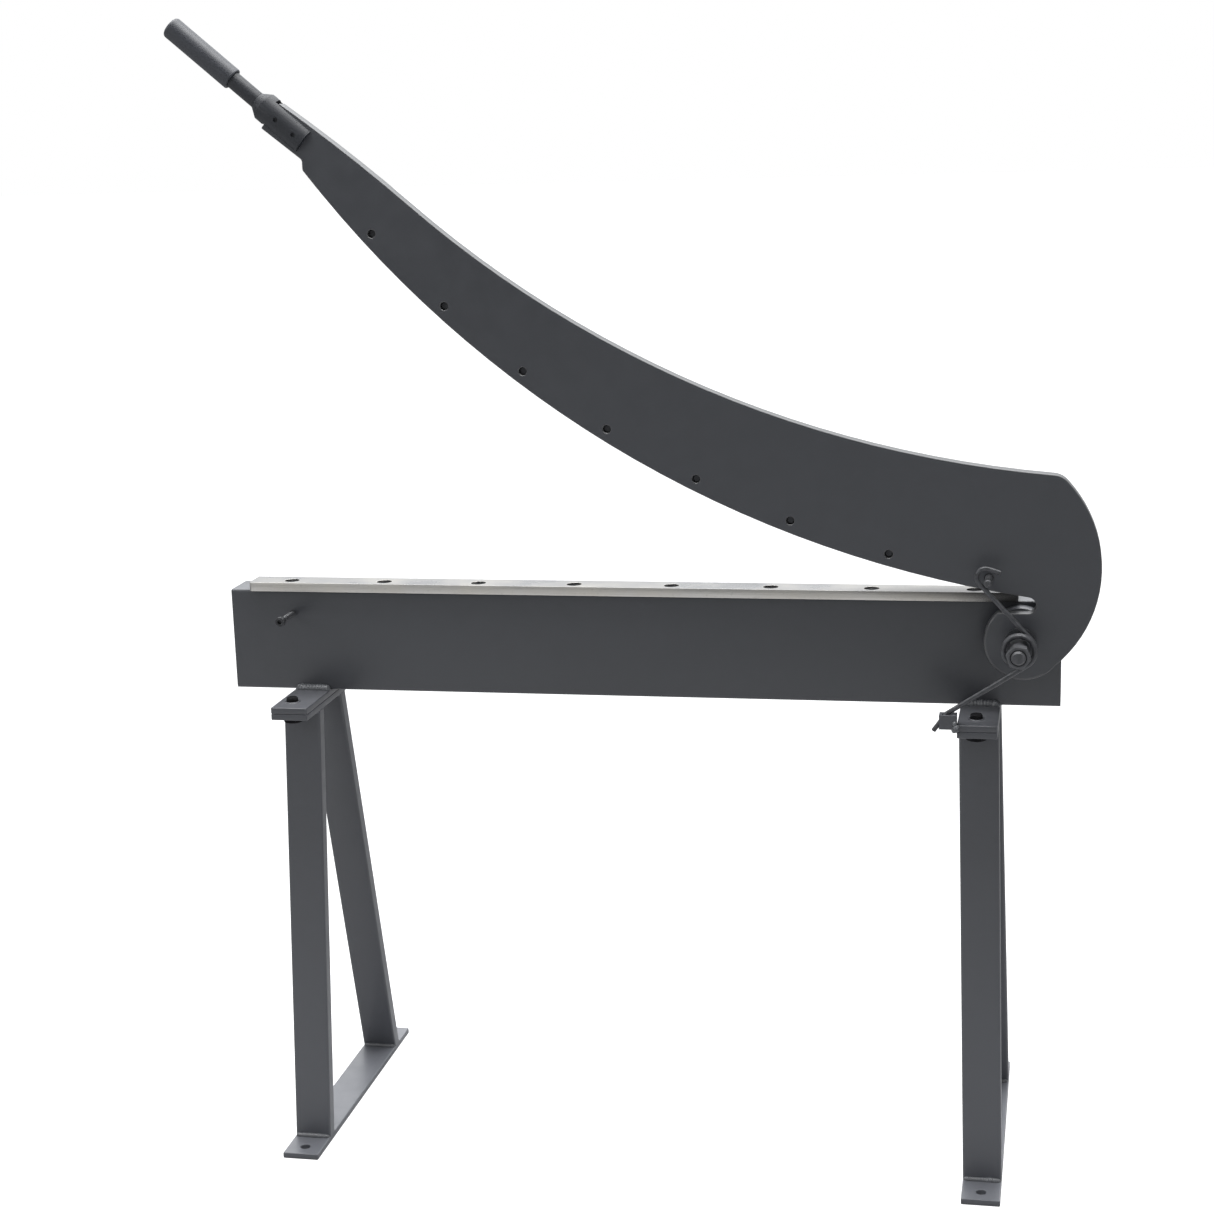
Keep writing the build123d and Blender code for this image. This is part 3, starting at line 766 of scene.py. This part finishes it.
def washer(name, node, edge, body, material=black_steel):
    """Ring on the pivot bolt with rounded rims, sized from its CAD node."""
    low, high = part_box(node)
    outer = (high.x - low.x) / 2
    spread = [Vector((v.co.x - pivot.x, v.co.z - pivot.z)) for v in nodes[node].data.vertices]
    inner = min(offset.length for offset in spread)
    depth = high.y - low.y
    rings = []
    for inset, along in wall(depth, edge, edge, 3):
        rings.append((outer - inset, along))
    for inset, along in reversed(wall(depth, edge * 0.5, edge * 0.5, 2)):
        rings.append((inner + inset, along))
    bm = revolve(rings, on_pivot(low.y), Y, X, 96, closed=True)
    return place(name, bm, (material,), body, (node,))


washer("PivotSpacer", "pivot_spacer", 1.2 * MM, "base", frame_paint)
washer("ThrustWasher", "thrust_washer", 0.5 * MM, "base")
washer("SpringSleeve", "spring_sleeve", 0.8 * MM, "base", nut_steel)
washer("RearWasher", "rear_washer", 0.5 * MM, "base")
washer("PivotBush", "pivot_bush", 0.3 * MM, "arm", bronze)

nut_low, nut_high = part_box("pivot_nut")
nut_depth = nut_high.y - nut_low.y
NUT_FLATS = 27 * MM
NUT_TURN = math.radians(-9.5)
PIVOT_RADIUS = 9 * MM
CHAMFER_DROPS = (0.0, 0.3, 0.7, 1.2, 1.8, 2.4)
rings = []
for drop in CHAMFER_DROPS:
    rings.append((hex_chamfer(NUT_FLATS, drop * MM), drop * MM))
for drop in reversed(CHAMFER_DROPS):
    rings.append((hex_chamfer(NUT_FLATS, drop * MM), nut_depth - drop * MM))
rings += [(10.4 * MM, nut_depth), (9.02 * MM, nut_depth - 1.4 * MM)]
rings += [(9.02 * MM, 1.4 * MM), (10.4 * MM, 0)]
nut_corner = Vector((math.cos(NUT_TURN), 0, math.sin(NUT_TURN)))
bm = revolve(rings, on_pivot(nut_low.y), Y, nut_corner, 144, closed=True)
place("PivotNut", bm, (nut_steel,), "base", ("pivot_nut",))

bolt_low, bolt_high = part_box("pivot_bolt")
bolt_length = bolt_high.y - bolt_low.y
HEAD_HEIGHT = 12.5 * MM
THREAD_LENGTH = 32 * MM
shank_end = bolt_length - HEAD_HEIGHT
rings = [(0, 0.3 * MM), (6.4 * MM, 0.3 * MM), (6.8 * MM, 0)]
rows = int(THREAD_LENGTH / (0.3 * MM))
for i in range(rows + 1):
    height = THREAD_LENGTH * i / rows
    limit = 7.0 * MM + height * 0.95
    rings.append((thread(PIVOT_RADIUS, 2.5 * MM, 1.3 * MM, height, limit), height))
rings += [(PIVOT_RADIUS, THREAD_LENGTH + 0.3 * MM), (PIVOT_RADIUS, shank_end)]
rings += [(12.8 * MM, shank_end), (12.8 * MM, shank_end + 0.4 * MM)]
rings.append((hexagon(NUT_FLATS), shank_end + 0.5 * MM))
for drop in reversed(CHAMFER_DROPS):
    rings.append((hex_chamfer(NUT_FLATS, drop * MM), bolt_length - drop * MM))
rings.append((0, bolt_length))
bm = revolve(rings, on_pivot(bolt_low.y), Y, X, 144)
place("PivotBolt", bm, (nut_steel,), "base", ("pivot_bolt",))

# ---- return spring -----------------------------------------------------------------------
WIRE = 3 * MM
COIL_RADIUS = 19.3 * MM
COIL_FRONT = -175.5 * MM
COIL_PITCH = 6.3 * MM
KNEE = Vector((-86.5 * MM, -77.8 * MM))
HOOK_LEAD = 7 * MM
HOOK_RADIUS = 11 * MM
HOOK_TAIL = 15 * MM
HOOK_SWEEP = math.radians(150)
KNEE_RADIUS = 8 * MM
KNEE_TURN = math.radians(21.5)
FOOT_LENGTH = 25 * MM
pin = Vector((hook_head.x - pivot.x, hook_head.z - pivot.z))


def bearing(v):
    return math.atan2(v.y, v.x)


lean = math.acos((COIL_RADIUS + SHANK_RADIUS + WIRE + 0.2 * MM) / pin.length)
upper = bearing(pin) - lean
lower_reach = math.sqrt(KNEE.length**2 - COIL_RADIUS**2)
lower = bearing(KNEE) + math.atan2(lower_reach, COIL_RADIUS)
sweep = 4 * math.pi + (upper - lower) % (2 * math.pi)
slope = COIL_PITCH / (2 * math.pi * COIL_RADIUS)


def coil_point(turned):
    angle = lower + turned
    y = COIL_FRONT + COIL_PITCH * turned / (2 * math.pi)
    return Vector((pivot.x + COIL_RADIUS * math.cos(angle), y, pivot.z + COIL_RADIUS * math.sin(angle)))


def coil_heading(turned):
    angle = lower + turned
    return Vector((-math.sin(angle), slope, math.cos(angle))).normalized()


def bent_end(start, heading, side, radius, turn, tail):
    """Points along a bend and straight tail, turning left (+1) or right (-1)."""
    across = Vector((-heading.z, 0, heading.x)).normalized() * side
    out = []
    steps = 16
    for i in range(1, steps + 1):
        a = turn * i / steps
        out.append(start + heading * radius * math.sin(a) + across * radius * (1 - math.cos(a)))
    away = heading * math.cos(turn) + across * math.sin(turn)
    for i in range(1, 7):
        out.append(out[steps - 1] + away * tail * i / 6)
    return out


level = math.hypot(coil_heading(0).x, coil_heading(0).z)
knee = coil_point(0) - coil_heading(0) * (lower_reach / level)
upper_reach = pin.length * math.sin(lean) + HOOK_LEAD
hook_start = coil_point(sweep) + coil_heading(sweep) * (upper_reach / level)
foot = bent_end(knee, -coil_heading(0), 1, KNEE_RADIUS, KNEE_TURN, FOOT_LENGTH)
path = foot[::-1] + [knee]
path += [knee.lerp(coil_point(0), i / 12) for i in range(1, 12)]
path += [coil_point(sweep * i / 110) for i in range(111)]
path += [coil_point(sweep).lerp(hook_start, i / 10) for i in range(1, 11)]
path += bent_end(hook_start, coil_heading(sweep), -1, HOOK_RADIUS, HOOK_SWEEP, HOOK_TAIL)
bm = tube(path, [WIRE] * len(path), 24)
spring = place("TorsionSpring", bm, (spring_steel,), None, ())
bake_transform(spring)
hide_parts("torsion_spring")


# ---- lug and handle: CAD shapes with their edges rounded ---------------------------------
def rounded_copy(name, node, width, body, material, least=35):
    """The CAD shape of a node with its sharp edges bevelled."""
    bm = bmesh.new()
    bm.from_mesh(nodes[node].data)
    bmesh.ops.remove_doubles(bm, verts=bm.verts, dist=1e-6)
    bmesh.ops.dissolve_limit(bm, angle_limit=math.radians(0.5), verts=bm.verts, edges=bm.edges)
    shape = {"offset": width, "segments": 3, "profile": 0.5, "affect": "EDGES"}
    bmesh.ops.bevel(bm, geom=sharp_edges(bm, least), clamp_overlap=True, **shape)
    for face in bm.faces:
        face.smooth = True
    made = place(name, bm, (material,), body, (node,))
    weighted = made.modifiers.new("Normals", "WEIGHTED_NORMAL")
    weighted.keep_sharp = True
    return made


rounded_copy("SpringLug", "spring_lug", 0.9 * MM, "base", frame_paint)
rounded_copy("HandleFerrule", "handle_ferrule", 0.7 * MM, "arm", handle_paint)
rounded_copy("HandleRod", "handle_rod", 0.6 * MM, "arm", handle_paint)
rounded_copy("Grip", "grip", 0.5 * MM, "arm", grip_rubber, 50)

# Roll pins through the ferrule, filled with paint a little below their ends.
bm = bmesh.new()
for low, high in solid_boxes("cross_pins"):
    length = high.y - low.y
    rings = [(0, 0.7 * MM), (1.2 * MM, 0.7 * MM), (1.6 * MM, 0.1 * MM)]
    rings += [(2.6 * MM, 0), (2.95 * MM, 0.3 * MM)]
    rings += [(radius, length - height) for radius, height in reversed(rings)]
    middle_line = Vector(((low.x + high.x) / 2, low.y, (low.z + high.z) / 2))
    revolve(rings, middle_line, Y, X, 32, bm=bm)
place("CrossPins", bm, (handle_paint,), "arm", ("cross_pins",))

# ---- down stop ---------------------------------------------------------------------------
stop_low, stop_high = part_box("stop_screw")
stop_centre = (stop_low + stop_high) / 2
stop_length = stop_high.y - stop_low.y
STOP_HEAD = 8 * MM
STOP_HEAD_RADIUS = 6.5 * MM
STOP_RADIUS = 4 * MM
STOP_PLAIN_END = STOP_HEAD + 6 * MM


def knurled(radius):
    return lambda angle: radius - 0.22 * MM * abs(2 * (angle * 30 / (2 * math.pi) % 1) - 1)


rings = [(0, 4.4 * MM), (hexagon(5.6 * MM), 4.1 * MM), (hexagon(6 * MM), 0.4 * MM), (3.9 * MM, 0)]
rings += [(5.5 * MM, 0), (6.1 * MM, 0.25 * MM), (knurled(STOP_HEAD_RADIUS), 0.9 * MM)]
rings += [(knurled(STOP_HEAD_RADIUS), STOP_HEAD - 1.6 * MM), (6.3 * MM, STOP_HEAD - 1.3 * MM)]
rings += [(6.3 * MM, STOP_HEAD - 0.3 * MM), (6.0 * MM, STOP_HEAD), (4.3 * MM, STOP_HEAD)]
rings += [(STOP_RADIUS, STOP_HEAD + 0.4 * MM), (STOP_RADIUS, STOP_PLAIN_END)]
rows = int((stop_length - STOP_PLAIN_END) / (0.2 * MM))
for i in range(1, rows + 1):
    height = STOP_PLAIN_END + (stop_length - STOP_PLAIN_END) * i / rows
    rings.append((thread(STOP_RADIUS, 1.25 * MM, 0.65 * MM, height), height))
rings.append((0, stop_length))
bm = revolve(rings, Vector((stop_centre.x, stop_low.y, stop_centre.z)), Y, Z, 120)
place("StopScrew", bm, (black_steel,), "base", ("stop_screw",))

# ---- frame bolts -------------------------------------------------------------------------
BOLT_HEAD = 10 * MM
BOLT_FLATS = 24 * MM
BOLT_RADIUS = 8 * MM
bm = bmesh.new()
for low, high in solid_boxes("frame_bolts"):
    centre = (low + high) / 2
    length = high.z - low.z
    rings = [(0, 0.4 * MM), (6 * MM, 0.4 * MM), (6.3 * MM, 0)]
    threaded = length - BOLT_HEAD - 4 * MM
    rows = int(threaded / (0.25 * MM))
    for i in range(rows + 1):
        height = threaded * i / rows
        limit = 6.5 * MM + height * 0.9
        rings.append((thread(BOLT_RADIUS, 2 * MM, 1.1 * MM, height, limit), height))
    shank_end = length - BOLT_HEAD
    rings += [(BOLT_RADIUS, threaded + 0.3 * MM), (BOLT_RADIUS, shank_end)]
    rings += [(11.2 * MM, shank_end), (11.2 * MM, shank_end + 0.4 * MM)]
    rings.append((hexagon(BOLT_FLATS), shank_end + 0.5 * MM))
    for drop in (2.0, 1.4, 0.8, 0.3, 0.0):
        rings.append((hex_chamfer(BOLT_FLATS, drop * MM), length - drop * MM))
    rings.append((0, length))
    revolve(rings, Vector((centre.x, centre.y, high.z)), -Z, X, 96, bm=bm)
place("FrameBolts", bm, (bolt_black,), "base", ("frame_bolts",))

# ---- welds -------------------------------------------------------------------------------
def weld_blob(at, radius, seed, bm):
    """Lumpy end of a weld run."""
    made = bmesh.ops.create_icosphere(bm, subdivisions=3, radius=1.0)["verts"]
    for v in made:
        swell = 1 + 0.16 * noise.noise(v.co * 1.3 + Vector((seed, 0, 0)))
        v.co = at + v.co * radius * swell
        for face in v.link_faces:
            face.smooth = True


bed_low, bed_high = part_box("bed_beam")
for number, side in enumerate(SIDES):
    plate_low, plate_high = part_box(f"mount_plate_{side}")
    stand_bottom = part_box(f"stand_plate_{side}")[0].z
    bar_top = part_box(f"base_bar_{side}")[1].z
    ends = (plate_low.x + 1 * MM, plate_high.x - 1 * MM)
    bm = bmesh.new()
    front = [Vector((x, bed_low.y, plate_high.z)) for x in ends]
    bead(front, -Y, Z, 8.5 * MM, 1 + number, bm, 4.2 * MM)
    weld_blob(front[1] + Vector((-5 * MM, -2.5 * MM, 1 * MM)), 6 * MM, 5 + number, bm)
    back = [Vector((x, bed_high.y, plate_high.z)) for x in ends]
    bead(back, Y, Z, 7 * MM, 3 + number, bm, 3.6 * MM)
    place(f"BedWelds_{side}", bm, (weld_paint,), "base", (), 75)
    bm = bmesh.new()
    for index, leg in enumerate(("front_leg", "rear_leg")):
        for high, surface, upward in ((True, stand_bottom, -Z), (False, bar_top, Z)):
            ring = flat_loops(f"{leg}_{side}", 2, high)[0]
            xs = [p.x for p in ring]
            ys = [p.y for p in ring]
            seed = 10 + 4 * number + 2 * index + high
            size = (4 if high else 5.5) * MM
            for y, outward in ((min(ys), -Y), (max(ys), Y)):
                run = [Vector((x, y, surface)) for x in (min(xs) + 1 * MM, max(xs) - 1 * MM)]
                bead(run, outward, upward, size, seed + (0.5 if outward.y > 0 else 0), bm)
    place(f"LegWelds_{side}", bm, (weld_paint,), "base", (), 75)

lug_low, lug_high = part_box("spring_lug")
plate_low, plate_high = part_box("mount_plate_right")
bm = bmesh.new()
above_lug = [Vector((plate_low.x, y, plate_high.z - 5 * MM)) for y in (lug_low.y, lug_high.y)]
beside_lug = [Vector((plate_low.x, lug_low.y, z)) for z in (lug_low.z, plate_high.z + 2 * MM)]
below_lug = [Vector((plate_low.x, y, lug_low.z)) for y in (lug_low.y, lug_high.y)]
bead(above_lug, -X, Z, 4 * MM, 31, bm)
bead(beside_lug, -X, -Y, 6 * MM, 32, bm)
bead(below_lug, -X, -Z, 6.5 * MM, 33, bm)
top_end = Vector((plate_low.x - 2.5 * MM, lug_low.y - 0.5 * MM, plate_high.z + 3 * MM))
bottom_end = Vector((plate_low.x - 3 * MM, lug_low.y + 1 * MM, lug_low.z - 1 * MM))
weld_blob(top_end, 3 * MM, 12, bm)
weld_blob(bottom_end, 3.4 * MM, 13, bm)
place("LugWelds", bm, (weld_paint,), "base", (), 75)

# ---- floor, lights and camera ------------------------------------------------------------
# The camera sees a white floor with soft contact shadows; the metal sees a duller one.
floor_shader = Shader("FloorWhite")
place_on_floor = floor_shader.add("ShaderNodeSeparateXYZ")
floor_shader.link(floor_shader.coords, place_on_floor.inputs[0])
near_share = floor_shader.remap(place_on_floor.outputs[1], -0.3, 0.5, 1.0, 0.0)
floor_tone = floor_shader.mix(near_share, (0.2, 0.2, 0.202), (0.55, 0.55, 0.555))
floor_tone = floor_shader.mix(floor_shader.noise(0.7, 2), floor_tone, (0.4, 0.4, 0.405))
floor_shader.set(base_color=floor_tone, roughness=0.8, specular_ior_level=0.1)
lit = floor_shader.add("ShaderNodeEmission")
lit.inputs["Strength"].default_value = 0.82
both = floor_shader.add("ShaderNodeAddShader")
pick = floor_shader.add("ShaderNodeMixShader")
floor_shader.link(floor_shader.surface.outputs[0], both.inputs[0])
floor_shader.link(lit.outputs[0], both.inputs[1])
floor_shader.link(floor_shader.add("ShaderNodeLightPath").outputs["Is Camera Ray"], pick.inputs[0])
floor_shader.link(floor_shader.surface.outputs[0], pick.inputs[1])
floor_shader.link(both.outputs[0], pick.inputs[2])
floor_shader.link(pick.outputs[0], floor_shader.output.inputs[0])
bm = bmesh.new()
bmesh.ops.create_grid(bm, x_segments=1, y_segments=1, size=40)
floor = place("Floor", bm, (floor_shader.material,), None)

world = bpy.data.worlds.new("Studio")
bpy.context.scene.world = world
world.use_nodes = True
tree = world.node_tree
tree.nodes.clear()


def world_node(kind, **settings):
    made = tree.nodes.new(kind)
    for key, value in settings.items():
        setattr(made, key, value)
    return made


def ramp(source, low, high, to_low, to_high):
    """Straight run between two values of a direction's component."""
    made = world_node("ShaderNodeMapRange")
    for socket, number in zip(made.inputs[1:5], (low, high, to_low, to_high)):
        socket.default_value = number
    tree.links.new(source, made.inputs[0])
    return made.outputs[0]


seen = world_node("ShaderNodeBackground")
seen.inputs[0].default_value = (1, 1, 1, 1)
glow = world_node("ShaderNodeBackground")
glow.inputs[0].default_value = (0.97, 0.985, 1, 1)
split = world_node("ShaderNodeSeparateXYZ")
tree.links.new(world_node("ShaderNodeTexCoord").outputs["Generated"], split.inputs[0])
behind = ramp(split.outputs[1], -0.1, 0.7, 0.0, 1.0)
above = ramp(split.outputs[2], 0.2, 0.5, 0.5, 2.8)
rear = world_node("ShaderNodeMath", operation="MULTIPLY")
tree.links.new(behind, rear.inputs[0])
tree.links.new(above, rear.inputs[1])
total = world_node("ShaderNodeMath", operation="ADD")
tree.links.new(rear.outputs[0], total.inputs[0])
tree.links.new(ramp(split.outputs[2], 0.1, 1.0, 0.16, 0.7), total.inputs[1])
tree.links.new(total.outputs[0], glow.inputs[1])
choose = world_node("ShaderNodeMixShader")
tree.links.new(world_node("ShaderNodeLightPath").outputs["Is Camera Ray"], choose.inputs[0])
tree.links.new(glow.outputs[0], choose.inputs[1])
tree.links.new(seen.outputs[0], choose.inputs[2])
tree.links.new(choose.outputs[0], world_node("ShaderNodeOutputWorld").inputs[0])


def softbox(name, at, target, size, power):
    """Large soft light aimed at a point."""
    data = bpy.data.lights.new(name, "AREA")
    data.shape = "RECTANGLE"
    data.size, data.size_y = size
    data.energy = power
    made = bpy.data.objects.new(name, data)
    made.location = at
    made.rotation_euler = (Vector(target) - Vector(at)).to_track_quat("-Z", "Y").to_euler()
    bpy.context.scene.collection.objects.link(made)


softbox("Overhead", (0.0, -0.05, 3.4), (0, -0.05, 0.6), (3.0, 1.8), 150)
softbox("KeyRight", (2.2, -3.2, 2.8), (0.1, 0, 0.6), (1.8, 1.8), 12)
softbox("FillLeft", (-3.0, -2.4, 2.4), (0, 0, 0.6), (2.2, 2.0), 38)

LENS = 66.32
CAMERA_AT = Vector((0.55899, -2.88336, 1.38655))
YAW, PITCH, ROLL = 0.209234, 0.219125, -0.030530
ahead = Vector((-math.sin(YAW) * math.cos(PITCH), math.cos(YAW) * math.cos(PITCH), -math.sin(PITCH)))
level_right = Vector((math.cos(YAW), math.sin(YAW), 0))
level_up = level_right.cross(ahead)
right = level_right * math.cos(ROLL) + level_up * math.sin(ROLL)
up = level_up * math.cos(ROLL) - level_right * math.sin(ROLL)
camera_data = bpy.data.cameras.new("Camera")
camera_data.lens = LENS
camera_data.sensor_width = 36
camera = bpy.data.objects.new("Camera", camera_data)
turned = Matrix((right, up, -ahead)).transposed().to_4x4()
camera.matrix_world = Matrix.Translation(CAMERA_AT) @ turned
bpy.context.scene.collection.objects.link(camera)
bpy.context.scene.camera = camera
bpy.context.scene.view_settings.view_transform = "Standard"
bpy.context.scene.view_settings.look = "None"
